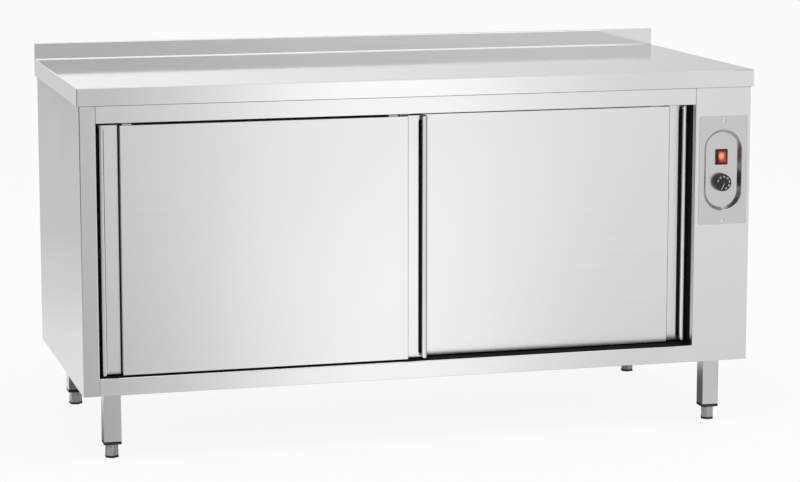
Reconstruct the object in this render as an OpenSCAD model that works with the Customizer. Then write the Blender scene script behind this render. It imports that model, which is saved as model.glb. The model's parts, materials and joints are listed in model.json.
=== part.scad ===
// Plate warmer cabinet: a stainless hot cupboard with two hanging sliding doors.
// X runs to the right, Y to the back and Z up. The origin lies on the floor under the middle.

/* [Overall] */
// Width over the worktop
cabinet_w = 1600; // [1400:10:2000]
// Depth over the worktop
cabinet_d = 700; // [600:10:800]
// Height of the worktop's surface with the feet screwed in
worktop_h = 850; // [800:10:950]
// Height of the body's underside over the floor
body_clearance = 155; // [130:5:200]

/* [Sheet metal] */
// Sheet thickness of all folded panels
sheet = 1.2; // [0.8:0.1:1.5]
// Inner radius of a bend
bend_r = 1; // [0.5:0.25:2]
// Width of a panel's hidden return flange
flange_w = 20; // [12:1:25]

/* [Worktop] */
// Height of the folded worktop edge
worktop_t = 40; // [30:1:60]
// Height of the rear upstand
upstand_h = 40; // [20:5:100]
// Depth of the rear upstand
upstand_t = 15; // [10:1:25]
// Worktop overhang at the front and sides
overhang = 5; // [2:1:10]
// Worktop overhang at the back
rear_overhang = 7; // [7:1:12]
// Board glued under the worktop sheet
board_t = 18; // [10:1:25]

/* [Body] */
// Width of the left post and wall
wall_w = 37; // [32:1:50]
// Width of the control column
column_w = 138; // [130:1:180]
// Height of the top and bottom rails
rail_h = 40; // [38:1:60]
// Depth of the insulated back wall
back_wall = 36; // [25:1:50]

/* [Doors] */
// Thickness of a door
door_t = 27; // [27:1:36]
// Front door's face behind the frame's face
door_inset = 10; // [10:1:20]
// Gap between the front and the rear door
door_space = 5; // [5:1:12]
// Overlap of the closed doors
door_overlap = 109; // [106:1:150]
// Gap over the doors
door_top_gap = 7; // [5:0.5:8]
// Gap under the doors
door_bottom_gap = 4; // [3:0.5:6]
// Gap between the left door and its buffer strip
left_gap = 7; // [1:0.5:8]
// Gap between the right door and its buffer strip
right_gap = 0.8; // [0.8:0.1:6]
// Thickness of a buffer strip
buffer_t = 1; // [1:0.5:3]
// Width of the rounded lip at a door's end
lip_w = 10; // [8:1:16]
// Mouth of a grip, from the lip to the panel
grip_w = 36; // [32:1:48]
// Depth of a grip's floor
grip_depth = 16; // [12:0.5:16]
// Gap between the lip and the strip in the grip, at a door's left end
left_slot = 3; // [2:0.5:6]
// The same gap at a door's right end
right_slot = 8.5; // [3:0.5:12]
// Slot between the grip's floor and the panel, in plan
panel_slot = 2.6; // [2:0.2:6]

/* [Door gear] */
// Flange radius of a roller
roller_r = 12; // [11:0.5:13]
// Groove radius of a roller
groove_r = 9; // [8:0.5:9.5]
// Width of a roller
roller_w = 9; // [8:0.5:10]
// Radius of a roller's stud
stud_r = 3; // [2.5:0.25:3.5]
// Width of a hanger
hanger_w = 22; // [16:1:30]
// Left hanger's middle from the door's left end
hanger_left = 64; // [62:1:120]
// Right hanger's middle from the door's right end
hanger_right = 80; // [62:1:120]
// Length of the lower guide
guide_w = 50; // [40:1:60]

/* [Controls] */
// Width of the control plate
plate_w = 121; // [115:1:125]
// Height of the control plate
plate_h = 258; // [240:1:280]
// Middle of the control plate below the worktop's surface
plate_drop = 237; // [220:1:300]
// Width of the pressed pan
pan_w = 93; // [85:1:95]
// Height of the pressed pan
pan_h = 192; // [180:1:205]
// Depth of the pressed pan
pan_depth = 13; // [10:0.5:14]
// Inward slope of the pan's wall
pan_draft = 6.5; // [4:0.5:8]
// Rocker and knob from the middle of the pan
control_offset = 30; // [26:1:36]
// Width of the switch bezel
switch_w = 30; // [26:0.5:34]
// Height of the switch bezel
switch_h = 37; // [34:0.5:40]
// Diameter of the thermostat knob
knob_d = 42; // [36:1:46]
// Height of the thermostat knob
knob_h = 17; // [14:0.5:18]
// Radius of the thermostat spindle
spindle_r = 3; // [2.5:0.25:3.5]

/* [Heating] */
// Radius of the fan wheel
fan_r = 65; // [50:1:70]
// Radius of the ring element
element_r = 85; // [80:1:95]
// Fan's axis behind the middle of the cabinet
fan_y = 30; // [0:1:80]
// Fan's axis over the cabinet's floor
fan_rise = 165; // [140:1:200]

/* [Shelf] */
// Shelf's surface over the cabinet's floor
shelf_rise = 285; // [262:1:330]
// Height of the shelf's folded edge
shelf_edge = 25; // [20:1:35]

/* [Legs] */
// Width of a square leg
leg_w = 40; // [35:1:45]
// Wall of a leg tube
leg_wall = 1.5; // [1:0.25:2.5]
// Leg's middle from the body's side
leg_inset_x = 71; // [55:1:90]
// Leg's middle from the body's front and back
leg_inset_y = 64; // [58:1:90]
// Height of a foot with its pad
foot_h = 32; // [28:1:40]
// Height of a foot's pad
pad_h = 5; // [3:0.5:8]
// Corner radius of a foot's hexagon at the floor
foot_r = 16; // [14:0.5:18]
// Radius of a foot's screw
screw_r = 5; // [4:0.5:6]
// Height of a leg insert's visible edge
insert_edge = 7; // [5:0.5:10]

/* [Hidden] */
// Clearances
seat = 0.2;     // between pieces that are fastened to each other
soft = 0.3;     // round insulation
running = 0.05; // of a shaft in its bearing, as a radius
slip = 1.5;     // of the guide's fin in a door
BEND_STEPS = 4;
$fn = 48;

// Body
body_x = cabinet_w / 2 - overhang;
front = -cabinet_d / 2 + overhang;
rear = cabinet_d / 2 - rear_overhang;
top = worktop_h - worktop_t;
bottom = body_clearance;
open_x0 = -body_x + wall_w;
open_x1 = body_x - column_w;
open_z0 = bottom + rail_h;
open_z1 = top - rail_h;
liner_back = rear - back_wall;
base_z = bottom + sheet;
base_top = base_z + sheet;
back_y = rear - sheet - seat;
edge_return = overhang + 10;

// Doors
door_w = (open_x1 - open_x0 - 2 * buffer_t - left_gap - right_gap + door_overlap) / 2;
door_z = open_z0 + door_bottom_gap;
door_h = open_z1 - door_top_gap - door_z;
front_door_y = front + door_inset;
rear_door_y = front_door_y + door_t + door_space;
left_door_x = open_x0 + buffer_t + left_gap;
right_door_x = open_x1 - buffer_t - right_gap - door_w;
zone_back = rear_door_y + door_t + 3;
buffer_inset = 18;
sill_t = 0.8;
liner_front = zone_back + seat;
liner_flange = 16;
liner_z0 = base_top + seat;
liner_z1 = top - sheet - seat;
panel_x0 = lip_w + grip_w;
panel_x1 = door_w - panel_x0;
strip_x1 = panel_x0 - panel_slot;
hem = 6;
undercut = 10;
lip_bend_r = 3;
lip_corner_r = 5;
skin_gap = seat;
back_skin_y = door_t - sheet;
groove_y0 = grip_depth + sheet + 0.5;
fin_t = 1.5;
groove_w = fin_t + 2 * slip;
fin_y = groove_y0 + groove_w / 2;
groove_h = 14;
tab_h = 13;
tab_notch_r = 4.2;

// Door gear, in door coordinates: y from the door's face, z from its foot
hanger_t = 3;
stud_y0 = 6;
stud_head = 1.5;
roller_y = stud_y0 + stud_head + soft + roller_w / 2;
hanger_y = roller_y + roller_w / 2 + soft + 1;
collar_r = stud_r + 1.5;
lip_t = 1.5;
track_top = top - sheet;
roller_z = track_top - lip_t - roller_r - 5.3;
rail_top = roller_z - groove_r - soft;
ledge_z = roller_z - roller_r - 6;
hanger_top = roller_z + 10;

// Controls
plate_x = (open_x1 + body_x) / 2 + 2;
plate_z = worktop_h - plate_drop;
plate_y = front - sheet;
plate_r = 4;
pan_r = pan_w / 2;
pan_bend_r = 2;
pan_straight = pan_h - pan_w;
pan_y = plate_y + pan_depth;
screw_z = (plate_h + pan_h) / 4 + 6;
switch_z = plate_z + control_offset;
knob_z = plate_z - control_offset;
bezel_t = 2.5;
frame_w = 6;
frame_h = 4.5;
rocker_rise = 9;
rocker_dip = 2.5;
housing_wall = 1.7;
housing_depth = 25;
rocker_gap = 0.3;
rocker_w = switch_w - 2 * frame_w - 2 * rocker_gap;
rocker_open = switch_h / 2 - frame_h + 0.2;
rocker_r = rocker_open - rocker_gap;
rocker_tilt = 10;
pin_r = 1.5;
bush_r = spindle_r + 2;
bush_front = pan_y - 1.8;
thermostat_r = 22;
thermostat_y0 = pan_y + sheet + seat;
thermostat_y1 = thermostat_y0 + 32;
knob_y = pan_y - 0.4;
screw_shank_r = 2;
capillary_r = 1.2;
capillary_x = 14;
capillary_run = 27;
bulb_r = 3;
bulb_l = 80;
bulb_rise = 55;

// Heating
fan_z = open_z0 + fan_rise;
liner_out = open_x1 + sheet;
wheel_x0 = liner_out + 6;
wheel_t = 26;
tube_r = 4;
element_x = wheel_x0 + tube_r + 2;
motor_x0 = wheel_x0 + wheel_t + 6;
motor_l = 50;
motor_r = 34;
shaft_r = 4;
arm_r = (fan_r + element_r - tube_r) / 2;
gland_r = 8;
cord_r = 4.5;
gland_x = (open_x1 + body_x) / 2;
gland_z = bottom + 50;

// Shelf and legs
shelf_z = open_z0 + shelf_rise;
bracket_w = 25;
leg_x = body_x - leg_inset_x;
leg_y0 = front + leg_inset_y;
leg_y1 = rear - leg_inset_y;
leg_plate = 66;
leg_plate_t = 3;
insert_plug = 20;
foot_travel = 50;
thread_len = insert_plug + insert_edge + foot_travel - 2;
cone_foot = 1.06;
cone_top = 0.9;
foot_turns = [0, -21, 14, -12];

// ---------- sheet metal ----------

function unit(v) = v / norm(v);
function left_of(v) = [-v.y, v.x];
function turned(v, a) = [v.x * cos(a) - v.y * sin(a), v.x * sin(a) + v.y * cos(a)];
function reversed(list) = [for (i = [len(list) - 1:-1:0]) list[i]];
function arc(c, r, a0, a1, n = 6) = [for (k = [0:n]) c + turned([r, 0], a0 + (a1 - a0) * k / n)];

// Points of one bend at the corner p between the directions a and b, on the drawn face or on the other.
function bend(p, a, b, r, drawn) =
    let (way = sign(a.x * b.y - a.y * b.x),
         angle = acos(a * b),
         drawn_r = way > 0 ? r + sheet : r,
         other_r = way > 0 ? r : r + sheet,
         middle = p - a * drawn_r * tan(angle / 2) + left_of(a) * way * drawn_r)
    [for (k = [0:BEND_STEPS])
        middle - turned(left_of(a), way * angle * k / BEND_STEPS) * way * (drawn ? drawn_r : other_r)];

function face(pts, r, drawn) =
    let (last = len(pts) - 1,
         way = [for (i = [0:last - 1]) unit(pts[i + 1] - pts[i])],
         shift = drawn ? 0 : sheet)
    concat([pts[0] + left_of(way[0]) * shift],
           [for (i = [1:1:last - 1]) each bend(pts[i], way[i - 1], way[i], r, drawn)],
           [pts[last] + left_of(way[last - 1]) * shift]);

// A folded sheet's section: pts run along its outer face, with the sheet on their left.
module folded(pts, r = bend_r)
    polygon(concat(face(pts, r, true), reversed(face(pts, r, false))));

// A section drawn as (Y, Z), (X, Z) or (X, Y) and drawn out along the third axis
module along_x(x0, x1) translate([x0, 0, 0]) rotate([90, 0, 90]) linear_extrude(x1 - x0) children();
module along_y(y0, y1) translate([0, y1, 0]) rotate([90, 0, 0]) linear_extrude(y1 - y0) children();
module along_z(z0, z1) translate([0, 0, z0]) linear_extrude(z1 - z0) children();
module block(low, high) translate(low) cube(high - low);
module mirrored(x) translate([x, 0, 0]) mirror([1, 0, 0]) children();

module rounded_top(w0, w1, z0, z1, r)
    polygon(concat([[w0, z0], [w1, z0]], arc([w1 - r, z1 - r], r, 0, 90), arc([w0 + r, z1 - r], r, 90, 180)));

module rounded_rect(w, h, r) {
    square([w, h - 2 * r], center = true);
    square([w - 2 * r, h], center = true);
    for (x = [-1, 1], y = [-1, 1])
        translate([x * (w / 2 - r), y * (h / 2 - r)]) circle(r);
}

module stadium(r, straight) {
    square([2 * r, straight], center = true);
    for (y = [-1, 1])
        translate([0, y * straight / 2]) circle(r);
}

// ---------- worktop ----------

module worktop() {
    x = cabinet_w / 2;
    y = cabinet_d / 2;
    r = bend_r + sheet;
    up_y = y - upstand_t;
    up_z = worktop_h + upstand_h;
    color("gainsboro") {
        difference() {
            union() {
                intersection() {
                    along_x(-x, x) rounded_top(-y, y, top, worktop_h, r);
                    along_y(-y, y) rounded_top(-x, x, top, worktop_h, r);
                }
                intersection() {
                    along_x(-x, x) rounded_top(up_y, y, top, up_z, r);
                    along_y(-y, y) rounded_top(-x, x, top, up_z, r);
                }
                // Cove between the surface and the upstand
                along_x(-x + r, x - r) difference() {
                    translate([up_y - r, worktop_h - sheet / 2]) square([r + sheet / 2, r + sheet / 2]);
                    translate([up_y - r, worktop_h + r]) circle(r);
                }
            }
            block([-x + sheet, -y + sheet, top + sheet], [x - sheet, y - sheet, worktop_h - sheet]);
            block([-x + sheet, up_y + sheet, top + sheet], [x - sheet, y - sheet, up_z - sheet]);
            block([-x + edge_return, -y + edge_return, top - 1],
                  [x - edge_return, y - edge_return, top + 2 * sheet]);
        }
    }
}

module worktop_board() {
    x = cabinet_w / 2 - sheet - 2;
    y = cabinet_d / 2 - sheet - 2;
    z = worktop_h - sheet;
    color("burlywood")
        block([-x, -y, z - board_t], [x, y - upstand_t, z]);
}

// ---------- body ----------

module top_and_bottom_flanges(x0, x1, y0, y1) {
    block([x0, y0, bottom], [x1, y1, bottom + sheet]);
    block([x0, y0, top - sheet], [x1, y1, top]);
}

module left_side_panel() {
    color("silver") {
        along_z(bottom, top) folded([
            [-body_x + flange_w, rear], [-body_x, rear], [-body_x, front],
            [open_x0, front], [open_x0, zone_back]]);
        top_and_bottom_flanges(-body_x + sheet / 2, -body_x + flange_w, front + sheet / 2, rear - sheet / 2);
    }
}

module right_side_panel() {
    front_edge = front + sheet + seat;
    color("silver") mirrored(0) {
        along_z(bottom, top) folded([
            [-body_x + flange_w, rear], [-body_x, rear],
            [-body_x, front_edge], [-body_x + flange_w, front_edge]]);
        top_and_bottom_flanges(-body_x + sheet / 2, -body_x + flange_w,
                               front_edge + sheet / 2, rear - sheet / 2);
    }
}

module back_panel() {
    slot_w = 80;
    slot_h = 6;
    edge_x = body_x - sheet - bend_r - seat;
    color("silver") difference() {
        block([-edge_x, back_y - sheet, bottom + sheet + seat], [edge_x, back_y, top - sheet - seat]);
        // Air slots of the control compartment
        for (k = [0:7])
            translate([gland_x, 0, top - 90 - 2 * slot_h * k])
                along_y(back_y - 2 * sheet, back_y + sheet) stadium_flat(slot_w, slot_h);
        translate([gland_x, back_y, gland_z]) rotate([90, 0, 0])
            cylinder(h = 4 * sheet, r = gland_r + seat, center = true);
    }
}

module stadium_flat(w, h) rotate(90) stadium(h / 2, w - h);

module base_panel() {
    notch = sheet + 2 * seat;
    zone_y = zone_back + seat;
    color("silver") difference() {
        block([-body_x + sheet + seat, front + 2 * sheet + 3 * seat, base_z],
              [body_x - sheet - seat, back_y - sheet - seat, base_top]);
        // Notches round the post and column returns
        for (x = [open_x0 - sheet - seat, open_x1 - seat])
            block([x, front, bottom], [x + notch, zone_y, base_top + 1]);
    }
}

module top_rail() {
    color("gainsboro") along_x(open_x0, open_x1) folded([
        [zone_back, top], [front, top], [front, open_z1], [front + door_inset - 1, open_z1]]);
}

module bottom_rail() {
    color("gainsboro") along_x(open_x0, open_x1) folded([
        [zone_back, open_z0 - flange_w / 2], [zone_back, open_z0], [front, open_z0],
        [front, bottom], [front + flange_w, bottom]]);
}

module control_column() {
    color("gainsboro") difference() {
        union() {
            along_z(bottom, top) folded([[open_x1, zone_back], [open_x1, front], [body_x, front]]);
            top_and_bottom_flanges(open_x1 + sheet / 2, body_x - flange_w - seat,
                                   front + sheet / 2, front + flange_w);
        }
        translate([plate_x, 0, plate_z])
            along_y(front - 1, front + 2 * sheet) stadium(pan_r + 3, pan_straight);
        for (side = [-1, 1])
            translate([plate_x, front, plate_z + side * screw_z]) rotate([90, 0, 0])
                cylinder(h = 4 * sheet, r = screw_shank_r + running, center = true);
    }
}

// ---------- liner ----------

module left_liner() {
    color("lightgray") along_z(liner_z0, liner_z1) folded([
        [open_x0 - liner_flange, liner_front], [open_x0, liner_front],
        [open_x0, liner_back - seat], [open_x0 - liner_flange, liner_back - seat]]);
}

module right_liner() {
    slot_w = 8;
    color("lightgray") difference() {
        along_z(liner_z0, liner_z1) folded([
            [open_x1 + liner_flange, liner_back - seat], [open_x1, liner_back - seat],
            [open_x1, liner_front], [open_x1 + liner_flange, liner_front]]);
        // Inlet slots in front of the wheel, shortened to follow its circle
        for (k = [-3:3])
            translate([0, fan_y + 2 * slot_w * k, fan_z])
                along_x(open_x1 - 1, open_x1 + 2 * sheet)
                    stadium(slot_w / 2, 2 * sqrt(pow(fan_r - slot_w, 2) - pow(2 * slot_w * k, 2)) - slot_w);
        // Outlet slots over and under the ring element
        for (k = [-4:4], side = [-1, 1])
            translate([0, fan_y + 2 * slot_w * k, fan_z + side * (element_r + 3 * slot_w)])
                along_x(open_x1 - 1, open_x1 + 2 * sheet) stadium(slot_w / 2, 2 * slot_w);
    }
}

module back_liner() {
    color("lightgray")
        block([open_x0 - liner_flange, liner_back, liner_z0],
              [open_x1 + liner_flange, liner_back + sheet, liner_z1]);
}

module floor_liner() {
    color("lightgray") along_x(open_x0 + seat, open_x1 - seat) folded([
        [liner_back - seat, open_z0 - flange_w], [liner_back - seat, open_z0],
        [liner_front, open_z0], [liner_front, open_z0 - flange_w]]);
}

module ceiling_liner() {
    color("lightgray") along_x(open_x0 + seat, open_x1 - seat) folded([
        [liner_front, liner_z1], [liner_front, open_z1],
        [liner_back - seat, open_z1], [liner_back - seat, open_z1 + flange_w]]);
}

module wall_insulation() {
    x0 = open_x0 + seat + soft;
    x1 = open_x1 - seat - soft;
    y0 = liner_front + sheet + soft;
    y1 = liner_back - seat - sheet - soft;
    z0 = base_top + soft;
    z1 = liner_z1 - soft;
    color("khaki") {
        block([-body_x + sheet + soft, y0, z0], [open_x0 - sheet - soft, y1, z1]);
        block([open_x0 - liner_flange, liner_back + sheet + soft, z0],
              [open_x1 + liner_flange, back_y - sheet - soft, z1]);
        block([x0, y0, open_z1 + sheet + soft], [x1, y1, z1]);
        block([x0, y0, z0], [x1, y1, open_z0 - sheet - soft]);
    }
}

// ---------- door gear in the frame ----------

// One channel of the track, its door's face at y
module track_channel(y) {
    web_y = y + roller_y - roller_w / 2 - 5.2 - lip_t;
    lip_y = y + roller_y - lip_t / 2;
    translate([web_y, ledge_z]) square([lip_t, track_top - ledge_z]);
    translate([web_y, ledge_z]) square([lip_y + lip_t - web_y, lip_t]);
    translate([lip_y, ledge_z]) square([lip_t, rail_top - ledge_z]);
}

module door_track() {
    y0 = front_door_y + roller_y - roller_w / 2 - 5.2 - lip_t;
    color("darkgray") along_x(open_x0 + seat, open_x1 - seat) {
        track_channel(front_door_y);
        track_channel(rear_door_y);
        translate([y0, track_top - lip_t]) square([zone_back - 3 - y0, lip_t]);
    }
}

module door_guide() {
    // Both doors cover the middle of the opening at all times
    x1 = left_door_x + panel_x1;
    color("gray") {
        block([x1 - guide_w, front_door_y + fin_y - 6, open_z0 + sill_t],
              [x1, rear_door_y + fin_y + 4, open_z0 + sill_t + fin_t]);
        for (y = [front_door_y, rear_door_y])
            block([x1 - guide_w, y + fin_y - fin_t / 2, open_z0 + sill_t + fin_t / 2],
                  [x1, y + fin_y + fin_t / 2, door_z + groove_h - 2]);
    }
}

// Rubber strips at both ends of the opening and along its foot
module door_buffers() {
    color("black") {
        block([open_x0 + 2 * buffer_t, front + bend_r + sheet, open_z0],
              [open_x1 - 2 * buffer_t, zone_back - seat, open_z0 + sill_t]);
        for (x = [open_x0, open_x1 - buffer_t])
            block([x, front + buffer_inset, open_z0 + soft],
                  [x + buffer_t, zone_back - seat, open_z1 - soft]);
    }
}

// ---------- shelf ----------

module shelf() {
    x0 = open_x0 + 3;
    x1 = open_x1 - 3;
    y0 = zone_back + 10;
    y1 = liner_back - 5;
    color("lightgray") {
        difference() {
            block([x0, y0, shelf_z - shelf_edge], [x1, y1, shelf_z]);
            block([x0 + sheet, y0 + sheet, shelf_z - shelf_edge - 1],
                  [x1 - sheet, y1 - sheet, shelf_z - sheet]);
        }
        // Two hat stiffeners welded under the shelf
        for (y = [y0 + (y1 - y0) / 3, y0 + (y1 - y0) * 2 / 3])
            along_x(x0 + sheet / 2, x1 - sheet / 2)
                translate([y, shelf_z - shelf_edge]) hat(shelf_edge - sheet / 2);
    }
}

module hat(h) {
    half = h / 2;
    for (side = [0, 1]) mirror([side, 0]) {
        translate([half - sheet, 0]) square([sheet, h]);
        square([half, sheet]);
    }
}

module shelf_brackets() {
    z = shelf_z - shelf_edge;
    color("darkgray")
        for (side = [0, 1])
            translate([side * (open_x0 + open_x1), 0, 0]) mirror([side, 0, 0])
                along_y(zone_back + 30, liner_back - 30) folded([
                    [open_x0 + sheet + seat, z - bracket_w], [open_x0 + sheet + seat, z - sheet - seat],
                    [open_x0 + bracket_w, z - sheet - seat]]);
}

// ---------- legs and feet ----------

module at_leg(right, back)
    translate([right ? leg_x : -leg_x, back ? leg_y1 : leg_y0, 0]) children();

// A foot stands as its screw left it
module at_foot(right, back)
    at_leg(right, back) rotate(foot_turns[(right ? 1 : 0) + (back ? 2 : 0)]) children();

module leg() {
    z0 = foot_h + insert_edge;
    inner = leg_w - 2 * leg_wall;
    color("darkgray") {
        difference() {
            along_z(z0, base_z - leg_plate_t / 2) rounded_rect(leg_w, leg_w, 2);
            along_z(z0 - 1, base_z - leg_plate_t) square(inner, center = true);
        }
        along_z(base_z - leg_plate_t, base_z) square(leg_plate, center = true);
    }
}

module leg_insert() {
    plug = leg_w - 2 * leg_wall - 2 * seat;
    color("black") difference() {
        union() {
            along_z(foot_h, foot_h + insert_edge) rounded_rect(leg_w, leg_w, 2);
            along_z(foot_h, foot_h + insert_edge + insert_plug) square(plug, center = true);
        }
        translate([0, 0, foot_h - 1]) cylinder(h = insert_edge + insert_plug + 2, r = screw_r + running);
    }
}

module leg_inserts()
    for (right = [false, true], back = [false, true])
        at_leg(right, back) leg_insert();

module foot() {
    top_z = foot_h - seat;
    color("gainsboro") {
        intersection() {
            along_z(pad_h, top_z) rotate(30) circle(r = foot_r, $fn = 6);
            translate([0, 0, pad_h])
                cylinder(h = top_z - pad_h, r1 = foot_r * cone_foot, r2 = foot_r * cone_top);
        }
        translate([0, 0, top_z - 1]) cylinder(h = thread_len, r = screw_r);
    }
}

module foot_pad()
    color("black") rotate(30) linear_extrude(pad_h) circle(r = foot_r + 0.6, $fn = 6);

// ---------- controls ----------

module control_plate() {
    color("silver") {
        translate([plate_x, 0, plate_z]) difference() {
            along_y(plate_y, front) difference() {
                rounded_rect(plate_w, plate_h, plate_r);
                stadium(pan_r + 2, pan_straight);
            }
            for (side = [-1, 1])
                translate([0, front, side * screw_z]) rotate([90, 0, 0])
                    cylinder(h = 4 * sheet, r = screw_shank_r + running, center = true);
        }
        difference() {
            translate([plate_x, plate_y, plate_z]) pan();
            translate([plate_x, 0, switch_z]) along_y(pan_y - 1, pan_y + 2 * sheet)
                square([switch_w - 2 * frame_w + 2 * housing_wall + 2 * seat,
                        2 * (rocker_open + housing_wall + seat)], center = true);
            translate([plate_x, pan_y, knob_z]) rotate([90, 0, 0])
                cylinder(h = 4 * sheet, r = bush_r + soft, center = true);
        }
    }
}

// The pressed pan, its mouth in the plane y = 0
module pan()
    for (turn = [0, 180]) rotate([0, turn, 0]) {
        translate([0, 0, pan_straight / 2]) rotate([90, 0, 0])
            rotate_extrude(angle = 180, $fn = 96) pan_section();
        translate([0, 0, -pan_straight / 2]) linear_extrude(pan_straight)
            mirror([0, 1]) pan_section();
    }

module pan_section()
    folded([[pan_r + 3, 0], [pan_r, 0], [pan_r - pan_draft, -pan_depth], [0, -pan_depth]], pan_bend_r);

module plate_screws()
    color("silver")
        for (side = [-1, 1])
            translate([plate_x, plate_y, plate_z + side * screw_z]) rotate([90, 0, 0]) {
                difference() {
                    intersection() {
                        cylinder(h = 3, r = 4);
                        translate([0, 0, -4]) sphere(r = 6.2);
                    }
                    for (a = [30, 120])
                        rotate(a) translate([0, 0, 2]) cube([4.4, 0.9, 2], center = true);
                }
                translate([0, 0, -10]) cylinder(h = 10.5, r = screw_shank_r);
            }

module switch_bezel() {
    inner_w = switch_w - 2 * frame_w;
    outer_w = inner_w + 2 * housing_wall;
    outer_h = 2 * (rocker_open + housing_wall);
    color("black") translate([plate_x, 0, switch_z]) difference() {
        union() {
            along_y(pan_y - bezel_t, pan_y) rounded_rect(switch_w, switch_h, 1.5);
            along_y(pan_y - bezel_t / 2, pan_y + housing_depth) square([outer_w, outer_h], center = true);
        }
        along_y(pan_y - bezel_t - 1, pan_y + housing_depth - 3)
            square([inner_w, 2 * rocker_open], center = true);
        translate([0, pan_y, 0]) rotate([0, 90, 0])
            cylinder(h = inner_w + 2.6, r = pin_r + running, center = true);
    }
}

module switch_rocker() {
    color("orangered") translate([plate_x, pan_y, switch_z]) rotate([-rocker_tilt, 0, 0]) {
        along_x(-rocker_w / 2, rocker_w / 2) intersection() {
            circle(rocker_r, $fn = 96);
            polygon([[-rocker_rise, -switch_h / 2], [rocker_dip - rocker_rise, 0],
                [-rocker_rise, switch_h / 2], [rocker_rise, switch_h / 2], [rocker_rise, -switch_h / 2]]);
        }
        rotate([0, 90, 0]) cylinder(h = rocker_w + 2.4, r = pin_r, center = true);
    }
}

module thermostat_body() {
    color("dimgray") translate([plate_x, 0, knob_z]) difference() {
        union() {
            along_y(bush_front, thermostat_y0 + 1) circle(bush_r);
            along_y(thermostat_y0, thermostat_y1) circle(thermostat_r);
            for (k = [-1, 1])
                block([k * 12 - 3, thermostat_y1 - 1, -4], [k * 12 + 3, thermostat_y1 + 10, -3]);
        }
        along_y(bush_front - 1, thermostat_y1 - 10) circle(spindle_r + running);
    }
}

module thermostat_spindle()
    color("silver") translate([plate_x, 0, knob_z])
        along_y(knob_y - knob_h + 4, thermostat_y1 - 12) circle(spindle_r);

module thermostat_knob() {
    r = knob_d / 2;
    bore_depth = 13;
    color("black") translate([plate_x, knob_y, knob_z]) rotate([90, 0, 0]) difference() {
        rotate_extrude($fn = 96) polygon([[0, 0], [r - 1, 0], [r, 1], [r, knob_h - 2],
            [r - 0.6, knob_h - 0.6], [r - 2, knob_h], [0, knob_h]]);
        translate([0, 0, -1]) cylinder(h = bore_depth + 1, r = spindle_r + running);
        // Hollow round the bush
        translate([0, 0, -1]) cylinder(h = 4, r = bush_r + 1);
    }
}

module temperature_sensor() {
    bulb_x = liner_out + seat + bulb_r;
    bulb_z = fan_z + element_r + bulb_rise;
    bulb_y = fan_y - bulb_l / 2;
    from = [plate_x + capillary_x, thermostat_y1 + 1.5 * capillary_r, knob_z];
    route = [from, from + [0, capillary_run, 0], [bulb_x + bulb_l / 4, from.y + bulb_l * 3 / 4, bulb_z],
             [bulb_x, bulb_y - capillary_run, bulb_z], [bulb_x, bulb_y, bulb_z]];
    color("peru") {
        for (k = [0:len(route) - 2])
            rod(route[k], route[k + 1], capillary_r);
        translate(route[4]) rotate([-90, 0, 0]) cylinder(h = bulb_l, r = bulb_r);
    }
}

module rod(a, b, r) {
    d = b - a;
    translate(a) {
        rotate([0, acos(d.z / norm(d)), atan2(d.y, d.x)]) cylinder(h = norm(d), r = r, $fn = 16);
        sphere(1.3 * r, $fn = 16);
    }
}

// ---------- heating ----------

module fan_motor() {
    color("dimgray") translate([0, fan_y, fan_z]) difference() {
        union() {
            along_x(motor_x0, motor_x0 + motor_l) circle(motor_r);
            along_x(motor_x0 + motor_l - 1, motor_x0 + motor_l + 8) circle(shaft_r + 6);
            // Three arms to the liner, outside the wheel
            for (a = [90, 210, 330]) rotate([a, 0, 0]) {
                block([motor_x0 + 2, -6, motor_r - 3], [motor_x0 + 5, 6, arm_r + 3]);
                block([liner_out + seat, -6, arm_r], [motor_x0 + 5, 6, arm_r + 3]);
            }
        }
        along_x(motor_x0 - 1, motor_x0 + motor_l - 5) circle(shaft_r + running);
    }
}

module fan_wheel() {
    blades = 18;
    hub_r = 10;
    x0 = wheel_x0;
    x1 = wheel_x0 + wheel_t;
    color("silver") translate([0, fan_y, fan_z]) {
        along_x(x1 - 1.5, x1) circle(fan_r);
        along_x(x0, x0 + 1.5) difference() {
            circle(fan_r);
            circle(fan_r - 16);
        }
        along_x(x1 - 16, x1) circle(hub_r);
        along_x(x1 - 16, motor_x0 + motor_l - 8) circle(shaft_r);
        for (k = [0:blades - 1])
            rotate([k * 360 / blades, 0, 0])
                along_x(x0 + 0.5, x1 - 0.5) translate([fan_r - 15, 0]) rotate(25) square([14, 1.2]);
    }
}

module heating_element() {
    gap_angle = 24;
    lead = 46;
    color("sienna") translate([element_x, fan_y, fan_z]) rotate([gap_angle / 2, 0, 0]) rotate([0, 90, 0]) {
        rotate_extrude(angle = 360 - gap_angle, $fn = 96)
            translate([element_r, 0]) circle(tube_r, $fn = 24);
        // Ferrules and leads at the ring's two ends
        for (a = [0, 360 - gap_angle])
            rotate(a) translate([element_r, 0, 0]) {
                cylinder(h = 2 * tube_r + 3, r = tube_r + 1.5, center = true);
                cylinder(h = lead, r = tube_r - 0.5);
            }
        // Standoffs to the liner
        for (a = [60, 170, 280])
            rotate(a) translate([element_r, 0, -(element_x - liner_out - seat)])
                cylinder(h = element_x - liner_out - seat, r = 3, $fn = 24);
    }
}

module terminal_block() {
    ways = 5;
    pitch = 12;
    color("ivory") translate([gland_x - ways * pitch / 2, liner_back - 60, base_top + seat]) difference() {
        cube([ways * pitch, 22, 20]);
        for (k = [0:ways - 1])
            translate([pitch * (k + 0.5), 11, 8]) cylinder(h = 20, r = 3);
        for (k = [1:ways - 1])
            translate([pitch * k - 0.75, -1, 12]) cube([1.5, 24, 10]);
    }
}

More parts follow.
